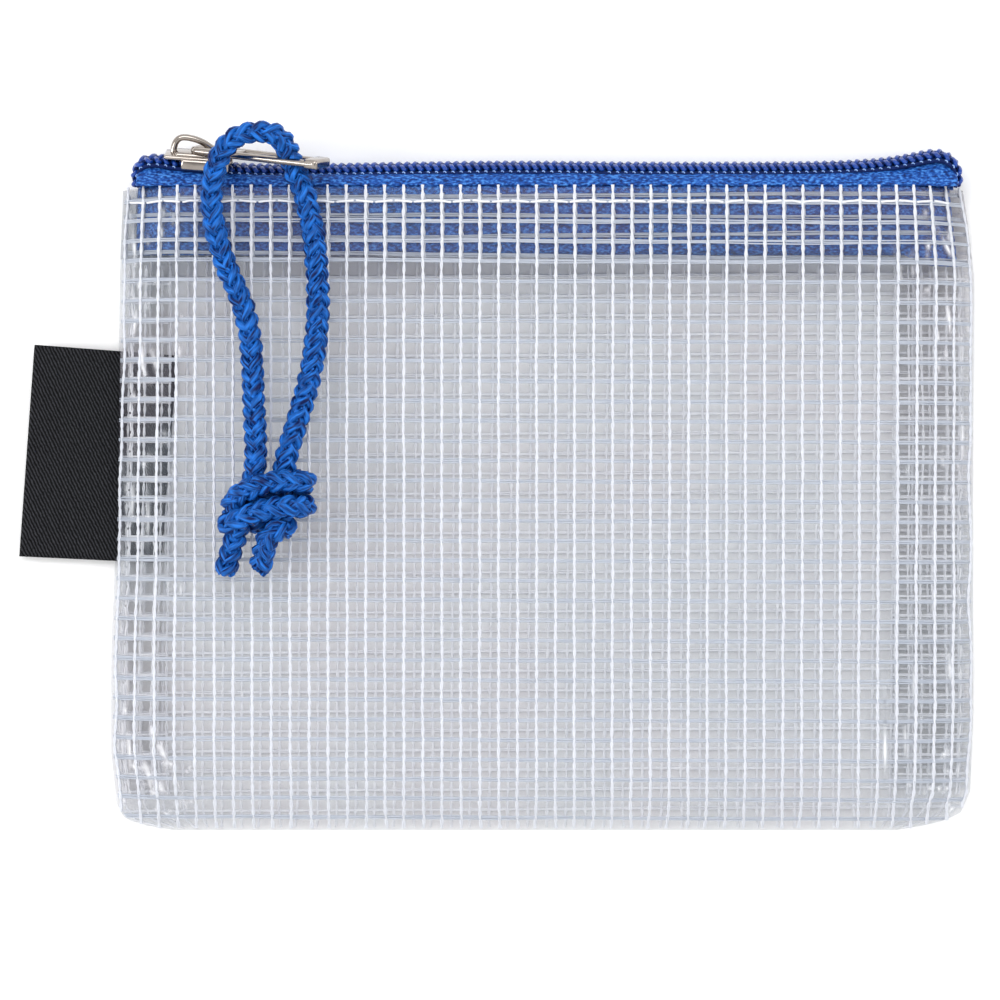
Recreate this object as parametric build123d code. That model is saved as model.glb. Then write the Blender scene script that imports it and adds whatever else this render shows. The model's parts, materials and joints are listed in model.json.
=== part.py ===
"""Small clear mesh pouch for cash deposits, lying on its back with the zip away from -Y.

The origin is the middle of the back face. +X runs along the zip, +Y points from the bottom
fold to the zip and +Z points up, out of the front wall. All sizes are in millimetres.
"""

import os
from math import cos, hypot, pi, radians, sin, tan

from build123d import *

# Pouch: one laminated sheet, folded at the bottom and sewn at both sides
bag_width = 129.0
bag_height = 96.6
sheet = 0.35
hem_depth = 10.5
hem_thick = 0.8
seam_edge = 1.4
side_run = 8.0
belly = 6.5
fold_edge = 1.4
fold_run = 10.0
corner_round = 6.0
left_flap = 7.5
right_flap = 11.5
flap_thick = 0.7
flap_gap = 0.03

# Zip: two tapes with a coil each
zip_tilt = 15.0
tape = 0.4
tape_gap = 0.03
tape_skirt = 10.0
gusset_half = 3.9
zip_rise = 2.1
coil_gap = 1.1
coil_wide = 1.55
coil_high = 1.5
core_bore = 0.7
core_cord = 0.6
zip_end_gap = 2.5
skirt_end_gap = 9.0

# Part of the front tape that swings open
lip_from_slider = 21.4
lip_from_end = 17.0
lip_hinge_gap = 0.5
lip_end_gap = 0.3

# Slider
slider_from_end = 11.1
slider_long = 10.2
flange = 1.02
plate = 0.8
plate_tail = 0.5
plate_corner = 1.2
nose_rise = 0.5
nose_run = 2.6
nose_under = 1.6
tail_run = 4.4
inner_short = 0.6
inner_clear = 0.7
chain_gap = 0.28
post = 0.8
post_long = 2.0
post_from_nose = 1.4
bail_long = 7.0
bail_wide = 1.4
bail_bar = 1.0
bail_bend = 1.8
pivot_from_nose = 4.0
pivot_clear = 0.4

# Pull tab, turned towards the front wall as it lies
pull_bar = 1.2
pull_yaw = 22.5
pull_pitch = 4.0
pull_long = 21.0
pull_half = 3.8
rail = 1.45
eye_long = 4.6
web = 1.8
end_cap = 2.4
tab_corner = 1.5
hole_corner = 1.1
tab_edge = 0.4

# Cord loop
cord = 3.6
cord_bend = 0.45
cord_clear = 0.3
knot_size = (13.4, 10.8, 7.8)
knot_round = 3.2
knot_shift = -2.2
tail_long = 5.6
tail_drop = 1.2

# Ribbon tab
ribbon_wide = 32.0
ribbon_thick = 0.6
ribbon_out = 14.0
ribbon_skew = (1.9, 0.5, 0.9)
ribbon_mid = 8.2
ribbon_lift = 0.1
ribbon_hinge_gap = 0.5
root_inset = 2.3
root_long = 6.7
root_short = 0.6

# Thread
stitch_long = 2.2
stitch_pitch = 2.9
thread = 0.3
stitch_from_edge = 2.25
seam_stitch_in = 1.9
seam_stitch_mid = -5.0

half_width = bag_width / 2
half_height = bag_height / 2
reach = 3 * bag_width
tilt_y, tilt_z = cos(radians(zip_tilt)), sin(radians(zip_tilt))
tape_low = hem_thick + tape_gap + tape / 2
zip_mid_z = tape_low + gusset_half * tilt_y
mouth_high = 2 * zip_mid_z
tape_high = mouth_high - tape_low
zip_y = half_height + zip_rise
front_slope = (mouth_high - belly) / (bag_height - fold_run)
zip_plane = Plane(origin=(0, zip_y, zip_mid_z), x_dir=(1, 0, 0), z_dir=(0, tilt_y, tilt_z))
coil_low = tape / 2 + 0.02
coil_top = coil_low + coil_high
plate_low = coil_top + chain_gap
chain_half = coil_gap / 2 + coil_wide
zip_half = half_width - zip_end_gap
slider_at = slider_from_end - zip_half
slider_half = chain_half + chain_gap + flange
inner_plate_half = gusset_half - tape / 2 - inner_clear
lip_left = slider_at + lip_from_slider
lip_right = zip_half - lip_from_end
pivot_high = plate_low + plate + pivot_clear + pull_bar / 2
pivot_at = slider_at - slider_long / 2 + pivot_from_nose
ALONG_X = (Align.MIN, Align.CENTER, Align.CENTER)
ON_FACE = (Align.CENTER, Align.CENTER, Align.MIN)


def front_z(y):
    """Height of the front wall's outer face at y."""
    return mouth_high - (half_height - y) * front_slope


def cut_beyond(body, point, normal):
    """Takes away all of body on the far side of the plane through point."""
    return body - Plane(origin=point, z_dir=normal) * Box(reach, reach, reach, align=ON_FACE)


def facet(body, corner, run, rise, inset, towards):
    """Slants an edge: towards is the outward side, (x, y), and corner the slant's low end."""
    long = hypot(run, rise)
    normal = (towards[0] * rise / long, towards[1] * rise / long, run / long)
    point = [c - inset * n for c, n in zip(corner, normal)]
    return cut_beyond(body, tuple(point), normal)


def pillow(inset, top):
    """The pouch's outer form with every face moved in by inset, reaching up to y = top."""
    low = -half_height + inset
    body = Pos(0, (low + top) / 2, inset) * Box(
        bag_width - 2 * inset, top - low, mouth_high - 2 * inset, align=ON_FACE
    )
    body = fillet(body.edges().filter_by(Axis.Z).group_by(Axis.Y)[0], corner_round - inset)
    rise = mouth_high - seam_edge
    body = facet(body, (half_width, 0, seam_edge), side_run, rise, inset, (1, 0))
    body = facet(body, (-half_width, 0, seam_edge), side_run, rise, inset, (-1, 0))
    bulge = belly - fold_edge
    body = facet(body, (0, -half_height, fold_edge), fold_run, bulge, inset, (0, -1))
    drop = mouth_high - belly
    return facet(body, (0, half_height, mouth_high), bag_height - fold_run, drop, inset, (0, -1))


def pouch_sheet():
    """The walls, the bottom fold and the turned hem at the mouth, as one thin shell."""
    room = pillow(sheet, half_height - hem_depth) + pillow(hem_thick, half_height + hem_depth)
    return pillow(0, half_height) - room


def seam_flap(side, long):
    """Seam allowance inside the pouch, lying on the back wall from one side seam inwards."""
    outer = half_width - seam_edge
    low = -half_height + corner_round
    high = half_height - hem_depth - flap_thick
    middle = side * (outer - long / 2)
    return Pos(middle, (low + high) / 2, sheet + flap_gap) * Box(
        long, high - low, flap_thick, align=ON_FACE
    )


def band(a, b, x0, x1, thick=tape):
    """Flat band with round edges between two (y, z) lines, from x0 to x1."""
    middle = (x0, (a[0] + b[0]) / 2, (a[1] + b[1]) / 2)
    across = (0, b[0] - a[0], b[1] - a[1])
    plane = Plane(origin=middle, x_dir=across, z_dir=(1, 0, 0))
    return extrude(plane * SlotCenterToCenter(hypot(*across[1:]), thick), amount=x1 - x0)


def zip_point(v, w):
    """(y, z) of a point v across and w outwards from the zip's middle line."""
    return zip_y + w * tilt_y + v * tilt_z, zip_mid_z + w * tilt_z - v * tilt_y


def tape_inner(side):
    """Line where a tape's flat part stops, beside the coils' gap. side is -1 at the front."""
    return zip_point(side * (coil_gap / 2 + tape / 2), 0)


def gusset_corner(side):
    """Line where a tape turns from the zip's plane into the pouch."""
    return zip_point(side * gusset_half, 0)


def front_skirt():
    """Part of the front tape that is sewn inside the front hem."""
    low = (half_height - tape_skirt, front_z(half_height - tape_skirt) - tape_low)
    high = (half_height, tape_high)
    end = half_width - skirt_end_gap
    return low, high, end


def front_tape():
    """The sewn skirt and the two ends of the front tape, which stay closed."""
    low, high, end = front_skirt()
    skirt = band(low, (half_height - lip_end_gap, high[1] - lip_end_gap * front_slope), -end, end)
    corner, inner = gusset_corner(-1), tape_inner(-1)
    for x0, x1 in ((-zip_half, lip_left - lip_end_gap), (lip_right + lip_end_gap, zip_half)):
        skirt += band(high, corner, max(x0, -end), min(x1, end))
        skirt += band(low, high, max(x0, -end), min(x1, end))
        skirt += band(corner, inner, x0, x1)
    return skirt


def front_lip_tape():
    """The free strip of the front tape, from the hem's edge to the coil."""
    start = (half_height + lip_hinge_gap + tape / 2, tape_high)
    strip = band(start, gusset_corner(-1), lip_left, lip_right)
    return strip + band(gusset_corner(-1), tape_inner(-1), lip_left, lip_right)


def back_tape():
    """The back tape in one length, sewn inside the back hem."""
    low = (half_height - tape_skirt, tape_low)
    end = half_width - skirt_end_gap
    skirt = band(low, gusset_corner(1), -end, end)
    return skirt + band(gusset_corner(1), tape_inner(1), -zip_half, zip_half)


def coil(side, x0, x1):
    """Outer form of one coil between x0 and x1, with the bore of its filler cord."""
    middle = side * (coil_gap / 2 + coil_wide / 2)
    place = zip_plane * Pos(x0, middle, coil_low + coil_high / 2)
    bar = place * Box(x1 - x0, coil_wide, coil_high, align=ALONG_X)
    return bar - place * Rot(0, 90, 0) * Cylinder(core_bore / 2, x1 - x0, align=ON_FACE)


def core(side, x0, x1):
    """Filler cord that runs inside a coil."""
    middle = side * (coil_gap / 2 + coil_wide / 2)
    place = zip_plane * Pos(x0, middle, coil_low + coil_high / 2) * Rot(0, 90, 0)
    return place * Cylinder(core_cord / 2, x1 - x0, align=ON_FACE)


def front_ends(make):
    """A coil or core at both closed ends of the front tape."""
    left = make(-1, -zip_half, lip_left - lip_end_gap)
    return Compound([left, make(-1, lip_right + lip_end_gap, zip_half)])


def slider_body():
    """Die-cast slider: two plates on a post, side flanges over the chain, and the bail."""
    low, high = -slider_long / 2, slider_long / 2
    top_tail = plate_low + plate_tail
    top_flat = plate_low + plate
    side = Plane.XZ * Polygon(
        (low, top_flat + nose_rise), (low, plate_low + nose_rise), (low + nose_under, plate_low),
        (high, plate_low), (high, top_tail), (high - tail_run, top_flat), (low + nose_run, top_flat),
        align=None,
    )
    body = extrude(side, amount=slider_half, both=True)
    inner_top = -tape / 2 - chain_gap
    inner = Pos(0, 0, inner_top - plate / 2) * Box(
        slider_long - inner_short, 2 * inner_plate_half, plate
    )
    body += fillet(inner.edges().filter_by(Axis.Z), plate_corner)
    flange_low = tape / 2 + chain_gap
    for way in (-1, 1):
        body += Pos(nose_under / 2, way * (slider_half - flange / 2), flange_low) * Box(
            slider_long - nose_under, flange, plate_low - flange_low + plate_tail / 2, align=ON_FACE
        )
    body = fillet(body.edges().filter_by(Axis.Z).group_by(Axis.X)[0], plate_corner)
    body += Pos(low + post_from_nose + post_long / 2, 0, inner_top - plate / 2) * Box(
        post_long, post, plate_low - inner_top + plate, align=ON_FACE
    )
    return zip_plane * Pos(slider_at, 0, 0) * (body + bail(top_flat))


def bail(base):
    """Arch on the slider's top plate that holds the pull tab."""
    inside = bail_long - 2 * bail_bar
    high = pull_bar + 2 * pivot_clear
    middle = pivot_at - slider_at
    root = plate / 4
    outer = Pos(middle, 0, base - root) * Box(
        bail_long, bail_wide, high + bail_bar + root, align=ON_FACE
    )
    outer = fillet(outer.edges().filter_by(Axis.Y).group_by(Axis.Z)[-1], bail_bend)
    window = Pos(middle, 0, base) * Box(inside, 2 * bail_wide, high, align=ON_FACE)
    bend_inside = bail_bend - bail_bar
    window = fillet(window.edges().filter_by(Axis.Y).group_by(Axis.Z)[-1], bend_inside)
    return outer - window


def pull_plane():
    """Plane of the pull tab: x along it, y across it, z outwards, origin on its pivot."""
    pivot = zip_plane * Pos(pivot_at, 0, pivot_high)
    return pivot * Rot(0, 0, -pull_yaw) * Rot(0, pull_pitch, 0)


def pull_tab():
    """Flat pull tab with an eye round the bail and a long slot for the cord."""
    nose = pull_bar / 2
    blank = Pos(-nose, 0, 0) * Box(pull_long + nose, 2 * pull_half, pull_bar, align=ALONG_X)
    blank = fillet(blank.edges().filter_by(Axis.Z), tab_corner)
    inner = 2 * (pull_half - rail)
    eye = Pos(nose, 0, 0) * Box(eye_long, inner, 2 * pull_bar, align=ALONG_X)
    slot_at = nose + eye_long + web
    slot = Pos(slot_at, 0, 0) * Box(
        pull_long - end_cap - slot_at, inner, 2 * pull_bar, align=ALONG_X
    )
    blank -= fillet((eye + slot).edges().filter_by(Axis.Z), hole_corner)
    long_edges = blank.edges().filter_by(Axis.X).sort_by(Axis.Y)
    return pull_plane() * fillet(long_edges[:2] + long_edges[-2:], tab_edge)


# Middle line of the loop: up the left strand, through the tab's slot and down the right one
cord_route = [
    (-42.9, 6.9, 11.2),
    (-43.4, 17.0, 10.9),
    (-43.9, 28.5, 11.0),
    (-48.4, 38.2, 11.6),
    (-50.3, 48.6, 13.1),
    (-47.4, 56.6, 15.8),
    (-39.2, 57.6, 15.2),
    (-37.6, 51.3, 11.0),
    (-35.1, 45.6, 12.4),
    (-33.6, 34.5, 11.5),
    (-34.2, 21.5, 11.0),
    (-39.0, 6.9, 11.2),
]


def bent_tube(points, name):
    """Round cord along straight runs joined by tangent arcs."""
    runs = [Vector(*b) - Vector(*a) for a, b in zip(points, points[1:])]
    radii = []
    for one, two in zip(runs, runs[1:]):
        turn = radians(one.get_angle(two))
        radii.append(cord_bend * min(one.length, two.length) / tan(turn / 2))
    print(name, "radii", [round(r, 1) for r in radii])
    path = FilletPolyline(*points, radius=radii)
    start = Plane(origin=points[0], z_dir=tuple(runs[0].normalized()))
    tube = sweep(start * Circle(cord / 2), path=path)
    section = pi * cord**2 / 4
    volumes = round(tube.volume), round(section * path.length)
    print(name, "length", round(path.length, 1), "volume and section times length", *volumes)
    return tube


def cord_loop():
    """The doubled cord from the knot, through the pull tab's slot and back."""
    return bent_tube(cord_route, "cord_loop")


def knot_middle():
    """Centre of the knot, below the loop's two ends."""
    left, right = cord_route[0], cord_route[-1]
    y = left[1] - knot_size[1] / 2
    return (left[0] + right[0]) / 2 + knot_shift, y, front_z(y) + cord_clear + knot_size[2] / 2


def cord_knot():
    """Outer form of the overhand knot that closes the loop."""
    x, y, z = knot_middle()
    lump = Pos(x, y, z) * Box(*knot_size)
    return fillet(lump.edges(), knot_round)


def cord_tail(shift, way):
    """One short free end of the cord below the knot, pointing along way."""
    x, y, z = knot_middle()
    start = (x + shift, y - knot_size[1] / 2, z - tail_drop)
    return Plane(origin=start, z_dir=way) * Cylinder(cord / 2, tail_long, align=ON_FACE)


def ribbon_tab():
    """Folded ribbon that stands out of the left side seam."""
    start = -half_width - ribbon_hinge_gap
    out = -half_width - ribbon_out
    top, low = ribbon_mid + ribbon_wide / 2, ribbon_mid - ribbon_wide / 2
    lean, drop, lift = ribbon_skew
    outline = Polygon(
        (start, low), (start, top - drop), (out + lean, top), (out, low + lift), align=None
    )
    return Pos(0, 0, ribbon_lift) * extrude(outline, amount=ribbon_thick)


def ribbon_root():
    """Ends of the ribbon, sewn to the seam allowance inside the pouch."""
    high = sheet + flap_gap + flap_thick + flap_gap
    return Pos(-half_width + root_inset + root_long / 2, ribbon_mid, high) * Box(
        root_long, ribbon_wide - root_short, ribbon_thick, align=ON_FACE
    )


def stitches(plane, long):
    """A row of stitches lying on plane, along its x."""
    count = int((long - stitch_long) / stitch_pitch) + 1
    first = -(count - 1) * stitch_pitch / 2
    one = Box(stitch_long, thread, thread, align=ON_FACE)
    return Compound([plane * Pos(first + i * stitch_pitch, 0, 0) * one for i in range(count)])


def front_topstitch():
    """Needle thread along the front hem."""
    y = half_height - stitch_from_edge
    plane = Plane(origin=(0, y, front_z(y)), x_dir=(1, 0, 0), z_dir=(0, -front_slope, 1))
    return stitches(plane, bag_width - 2 * side_run - stitch_pitch)


def back_topstitch():
    """Bobbin thread along the back hem, inside the pouch."""
    y = half_height - stitch_from_edge
    plane = Plane(origin=(0, y, tape_low + tape / 2), x_dir=(1, 0, 0), z_dir=(0, 0, 1))
    return stitches(plane, 2 * (half_width - skirt_end_gap))


def seam_thread(side):
    """Thread of one side seam, on the seam allowance."""
    x = side * (half_width - seam_stitch_in)
    high = sheet + flap_gap + flap_thick
    plane = Plane(origin=(x, seam_stitch_mid, high), x_dir=(0, 1, 0), z_dir=(0, 0, 1))
    return stitches(plane, bag_height - 2 * hem_depth - corner_round)


def write(name, shape):
    """Writes one node; a group of like pieces is one compound."""
    shape.label = name
    export_step(shape, "parts/" + name + ".step")


os.makedirs("parts", exist_ok=True)
write("pouch_sheet", pouch_sheet())
write("left_seam_flap", seam_flap(-1, left_flap))
write("right_seam_flap", seam_flap(1, right_flap))
write("left_seam_thread", seam_thread(-1))
write("right_seam_thread", seam_thread(1))
write("front_topstitch", front_topstitch())
write("back_topstitch", back_topstitch())
write("front_tape", front_tape())
write("front_lip_tape", front_lip_tape())
write("back_tape", back_tape())
write("front_coil", coil(-1, lip_left, lip_right))
write("front_coil_core", core(-1, lip_left, lip_right))
write("front_end_coils", front_ends(coil))
write("front_end_cores", front_ends(core))
write("back_coil", coil(1, -zip_half, zip_half))
write("back_coil_core", core(1, -zip_half, zip_half))
write("slider_body", slider_body())
write("pull_tab", pull_tab())
write("cord_loop", cord_loop())
write("cord_knot", cord_knot())
write("cord_tail_left", cord_tail(-2.6, (-0.25, -1, -0.12)))
write("cord_tail_right", cord_tail(1.6, (0.05, -1, -0.12)))
write("ribbon_tab", ribbon_tab())
write("ribbon_root", ribbon_root())
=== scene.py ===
import json
import math
import random

import bmesh
import bpy
import numpy as np
from mathutils import Matrix, Vector, noise


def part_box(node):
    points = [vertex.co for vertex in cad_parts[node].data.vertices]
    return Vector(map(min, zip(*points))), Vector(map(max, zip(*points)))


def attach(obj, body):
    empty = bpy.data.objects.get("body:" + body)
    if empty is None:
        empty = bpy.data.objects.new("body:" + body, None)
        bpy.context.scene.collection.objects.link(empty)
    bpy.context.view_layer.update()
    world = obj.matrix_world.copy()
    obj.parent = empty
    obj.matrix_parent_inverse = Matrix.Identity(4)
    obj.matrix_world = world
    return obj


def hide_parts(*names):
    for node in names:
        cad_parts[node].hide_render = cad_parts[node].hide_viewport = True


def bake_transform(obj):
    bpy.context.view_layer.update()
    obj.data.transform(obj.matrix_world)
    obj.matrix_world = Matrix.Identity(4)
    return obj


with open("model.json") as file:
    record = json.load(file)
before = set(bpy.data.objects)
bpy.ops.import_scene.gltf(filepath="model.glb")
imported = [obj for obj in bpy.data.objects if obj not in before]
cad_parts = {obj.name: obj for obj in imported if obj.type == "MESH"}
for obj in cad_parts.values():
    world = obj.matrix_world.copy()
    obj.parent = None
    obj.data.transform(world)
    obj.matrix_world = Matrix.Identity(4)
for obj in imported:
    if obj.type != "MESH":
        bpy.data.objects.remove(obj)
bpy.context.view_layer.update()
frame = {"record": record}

# --------------------------------------------
# Table top, camera and light.
# The pouch lies on its back on a plain white table, under a large soft lamp
# with two narrower ones low at the sides, and is seen from straight above.


def linear(hex_colour):
    """Linear RGBA of an sRGB hex colour."""
    channels = [int(hex_colour[i:i + 2], 16) / 255 for i in (1, 3, 5)]
    lifted = [c / 12.92 if c <= 0.04045 else ((c + 0.055) / 1.055) ** 2.4 for c in channels]
    return (*lifted, 1)


def add_node(tree, kind, sockets, stops=(), **settings):
    """Adds a shader node: its inputs' values or links, and a ramp's stops, each a place and a colour."""
    node = tree.nodes.new("ShaderNode" + kind)
    for name, value in settings.items():
        setattr(node, name, value)
    for name, value in sockets.items():
        if isinstance(value, bpy.types.NodeSocket):
            tree.links.new(value, node.inputs[name])
        else:
            node.inputs[name].default_value = value
    for n, (at, colour) in enumerate(stops):
        stop = node.color_ramp.elements[n] if n < 2 else node.color_ramp.elements.new(at)
        stop.position, stop.color = at, linear(colour)
    return node


def new_tree(name):
    """An empty material and its node tree."""
    material = bpy.data.materials.new(name)
    material.use_nodes = True
    material.node_tree.nodes.clear()
    return material, material.node_tree


def close_tree(tree, shader):
    """Sends a shader to the surface."""
    add_node(tree, "OutputMaterial", {"Surface": shader.outputs[0]})


def new_piece(name, mesh, material):
    """Puts a mesh in the scene as a piece of one material."""
    piece = bpy.data.objects.new(name, mesh)
    bpy.context.collection.objects.link(piece)
    mesh.materials.clear()
    mesh.materials.append(material)
    for face in mesh.polygons:
        face.use_smooth = True
        face.material_index = 0
    return piece


# Painted board: even and matt, so that it gives nothing but a soft shadow
board, tree = new_tree("white_painted_board")
close_tree(tree, add_node(tree, "BsdfPrincipled", {"Base Color": linear("#ffffff"), "Roughness": 0.9}))
sheet_mesh = bmesh.new()
bmesh.ops.create_grid(sheet_mesh, x_segments=1, y_segments=1, size=1.5)
bmesh.ops.translate(sheet_mesh, vec=(0, 0, -0.0002), verts=sheet_mesh.verts)
mesh = bpy.data.meshes.new("table_top")
sheet_mesh.to_mesh(mesh)
sheet_mesh.free()
new_piece("table_top", mesh, board)

camera_data = bpy.data.cameras.new("camera")
camera_data.lens, camera_data.sensor_width = 168, 36
camera = bpy.data.objects.new("camera", camera_data)
camera.location = (-0.00675, 0.0015, 0.705)
bpy.context.collection.objects.link(camera)
bpy.context.scene.camera = camera
bpy.context.scene.view_settings.view_transform = "Standard"

surround = bpy.data.worlds.new("surround")
surround.use_nodes = True
sky = surround.node_tree
towards = add_node(sky, "TexCoord", {})
height = add_node(sky, "SeparateXYZ", {"Vector": towards.outputs["Generated"]})
ring = add_node(sky, "ValToRGB", {"Fac": height.outputs["Z"]})
ring.color_ramp.elements[0].color = (0.45, 0.45, 0.45, 1)
ring.color_ramp.elements[1].position = 0.97
ring.color_ramp.elements[1].color = (0.35, 0.35, 0.36, 1)
for at, grey in ((0.30, 0.8), (0.55, 1.0), (0.88, 1.0)):
    ring.color_ramp.elements.new(at).color = (grey, grey, grey, 1)
sky.links.new(ring.outputs["Color"], sky.nodes["Background"].inputs["Color"])
sky.nodes["Background"].inputs["Strength"].default_value = 1.05
bpy.context.scene.world = surround


def add_lamp(name, place, size, power):
    """Rectangular lamp that faces the middle of the pouch."""
    lamp = bpy.data.lights.new(name, "AREA")
    lamp.shape, lamp.energy = "RECTANGLE", power
    lamp.size, lamp.size_y = size
    holder = bpy.data.objects.new(name, lamp)
    holder.location = place
    holder.rotation_euler = (-Vector(place)).to_track_quat("-Z", "Y").to_euler()
    bpy.context.collection.objects.link(holder)


add_lamp("top_lamp", (-0.15, 0.35, 0.9), (0.6, 0.45), 3.0)
add_lamp("left_lamp", (-0.75, -0.1, 0.45), (0.12, 0.6), 2)
add_lamp("right_lamp", (0.8, 0.15, 0.4), (0.1, 0.5), 1.6)

# --------------------------------------------
# Cord.
# One length of blue braided polyester cord. It is doubled through the pull
# tab's slot and closed with an overhand knot, and its two ends are cut short.

cord_wide = 0.0037
first_tail = [
    (-0.0476, -0.0093, 0.0104), (-0.0465, -0.0052, 0.0112), (-0.0452, -0.0014, 0.0118),
    (-0.0438, 0.0028, 0.0118),
]
loop = [
    (-0.0429, 0.0069, 0.0112), (-0.0434, 0.0170, 0.0109), (-0.0439, 0.0285, 0.0110),
    (-0.0484, 0.0382, 0.0116), (-0.0501, 0.0480, 0.0131), (-0.0468, 0.0556, 0.0158),
    (-0.0392, 0.0562, 0.0152), (-0.0376, 0.0513, 0.0110), (-0.0351, 0.0456, 0.0124),
    (-0.0336, 0.0345, 0.0115), (-0.0342, 0.0215, 0.0110), (-0.0390, 0.0069, 0.0112),
]
wraps = [
    (-0.0386, 0.0035, 0.0106), (-0.0368, 0.0012, 0.0106), (-0.0352, 0.0004, 0.0124),
    (-0.0368, 0.0006, 0.0146), (-0.0412, 0.0003, 0.0149), (-0.0454, -0.0014, 0.0143),
    (-0.0477, -0.0025, 0.0122), (-0.0456, 0.0000, 0.0101), (-0.0412, 0.0030, 0.0100),
    (-0.0370, 0.0041, 0.0104), (-0.0351, 0.0041, 0.0124), (-0.0368, 0.0044, 0.0146),
    (-0.0412, 0.0042, 0.0149), (-0.0450, 0.0026, 0.0141), (-0.0470, 0.0010, 0.0122),
    (-0.0450, -0.0012, 0.0103), (-0.0414, -0.0022, 0.0098), (-0.0386, -0.0018, 0.0104),
]
second_tail = [
    (-0.0384, -0.0026, 0.0124), (-0.0402, -0.0030, 0.0138), (-0.0419, -0.0052, 0.0130),
    (-0.0424, -0.0092, 0.0106),
]


def drift(a, b, c):
    """An uneven amount, from about -1 to 1, that changes slowly with three numbers."""
    return noise.noise(Vector((a, b, c)))


def smooth_line(name, points):
    """Points along the smooth curve that a list of control points pulls into shape."""
    curve = bpy.data.curves.new(name, "CURVE")
    curve.dimensions = "3D"
    spline = curve.splines.new("NURBS")
    spline.points.add(len(points) - 1)
    for point, place in zip(spline.points, points):
        point.co = (*place, 1)
    spline.order_u = 3
    spline.use_endpoint_u = True
    holder = bpy.data.objects.new(name, curve)
    mesh = bpy.data.meshes.new_from_object(holder)
    line = [vertex.co.copy() for vertex in mesh.vertices]
    bpy.data.objects.remove(holder)
    bpy.data.meshes.remove(mesh)
    return line


def spaced(line, step):
    """The same line with its points evenly spaced, about a step apart."""
    reach = [0.0]
    for a, b in zip(line, line[1:]):
        reach.append(reach[-1] + (b - a).length)
    count = round(reach[-1] / step)
    result, i = [], 0
    for n in range(count + 1):
        at = reach[-1] * n / count
        while i < len(line) - 2 and reach[i + 1] < at:
            i += 1
        share = (at - reach[i]) / (reach[i + 1] - reach[i])
        result.append(line[i].lerp(line[i + 1], min(share, 1)))
    return result, reach[-1]


def tube_mesh(name, lines, radius, sides=4):
    """Round threads along lines of points (x, y, z, and a share of the radius if given)."""
    curve = bpy.data.curves.new(name, "CURVE")
    curve.dimensions = "3D"
    curve.bevel_depth = radius
    curve.bevel_resolution = sides // 2 - 2
    curve.use_fill_caps = True
    for line in lines:
        spline = curve.splines.new("POLY")
        spline.points.add(len(line) - 1)
        for point, place in zip(spline.points, line):
            point.co = (*place[:3], 1)
            point.radius = place[3] if len(place) > 3 else 1
    holder = bpy.data.objects.new(name, curve)
    mesh = bpy.data.meshes.new_from_object(holder)
    bpy.data.objects.remove(holder)
    return mesh


def carried_frames(line, start, up):
    """Two directions across the line at each point, carried along it with no twist."""
    across = [None] * len(line)
    tangents = []
    for i in range(len(line)):
        tangents.append((line[min(i + 1, len(line) - 1)] - line[max(i - 1, 0)]).normalized())
    across[start] = (up - up.dot(tangents[start]) * tangents[start]).normalized()
    for order in (range(start + 1, len(line)), range(start - 1, -1, -1)):
        last = start
        for i in order:
            turn = tangents[last].rotation_difference(tangents[i])
            across[i] = (turn @ across[last]).normalized()
            last = i
    return [(a, t.cross(a)) for a, t in zip(across, tangents)]


def ease_end(share):
    """1 at a cut end, falling to 0 where the braid is whole."""
    return max(1 - share, 0) ** 2


# A plait of each hand lies on top in turn, a quarter of the way round, which gives rows of V shapes
plaits_each_way = 4
plait_pitch = 0.0078
plait_thick = 0.00062
plait_step = 0.00042
centre, cord_long = spaced(
    smooth_line("cord_line", first_tail + loop + wraps + second_tail), plait_step
)
arch = max(range(len(centre)), key=lambda i: centre[i].y)
frames = carried_frames(centre, arch, Vector((0, 0, 1)))
top_ring = cord_wide / 2 - plait_thick
under = 0.00062
fray_long = 0.003
random.seed(4)
plaits = []
for hand in (-1, 1):
    for k in range(plaits_each_way):
        strand = []
        cut = [random.randrange(0, 3), len(centre) - random.randrange(0, 3)]
        for i in range(*cut):
            slack = drift(i * 0.05, k * 9, hand * 5)
            turn = hand * (math.tau * i * plait_step / plait_pitch) + math.tau * k / plaits_each_way
            turn += 0.22 * slack
            side, other = frames[i]
            on_top = (1 + hand * math.sin(2 * turn)) / 2
            fray = ease_end(min(i, len(centre) - i) * plait_step / fray_long)
            ring = (top_ring + 0.00012 * slack) * (1 + 0.18 * fray) - under * (1 - on_top)
            place = centre[i] + ring * (math.cos(turn) * side + math.sin(turn) * other)
            swell = 0.9 + 0.16 * on_top + 0.16 * noise.noise(place * 700)
            strand.append((*place, swell))
        plaits.append(strand)

# Polyester filament yarn: blue, with painted highlights and painted shade: bright and dark streaks in its
# colour along each plait stand in for its silky sheen, and the braid's shape gives dark gaps between the
# plaits
cord_yarn, tree = new_tree("braided_polyester_yarn")
place = add_node(tree, "UVMap", {}, uv_map="UVMap")
stretch = add_node(tree, "Mapping", {"Vector": place.outputs[0], "Scale": (130, 8, 1)})
filaments = add_node(
    tree, "TexNoise", {"Vector": stretch.outputs[0], "Scale": 1.0, "Detail": 2.0, "Distortion": 0.4}
)
# Painted highlights and painted shade: the filament streaks run from dark navy to bright blue in the colour
painted_sheen_and_shade = add_node(
    tree, "ValToRGB", {"Fac": filaments.outputs["Fac"]}, [(0.36, "#00134a"), (0.66, "#2476d8")]
)
relief = add_node(
    tree, "Bump", {"Height": filaments.outputs["Fac"], "Strength": 1.0, "Distance": 0.0002}
)
close_tree(tree, add_node(tree, "BsdfPrincipled", {
    "Base Color": painted_sheen_and_shade.outputs["Color"], "Normal": relief.outputs["Normal"], "Roughness": 0.4,
    "IOR": 1.5, "Specular IOR Level": 0.15,
}))
cord_piece = new_piece("zip_pull_cord", tube_mesh("zip_pull_cord", plaits, plait_thick, 6), cord_yarn)
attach(cord_piece, "pull")
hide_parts("cord_loop", "cord_knot", "cord_tail_left", "cord_tail_right")

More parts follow.
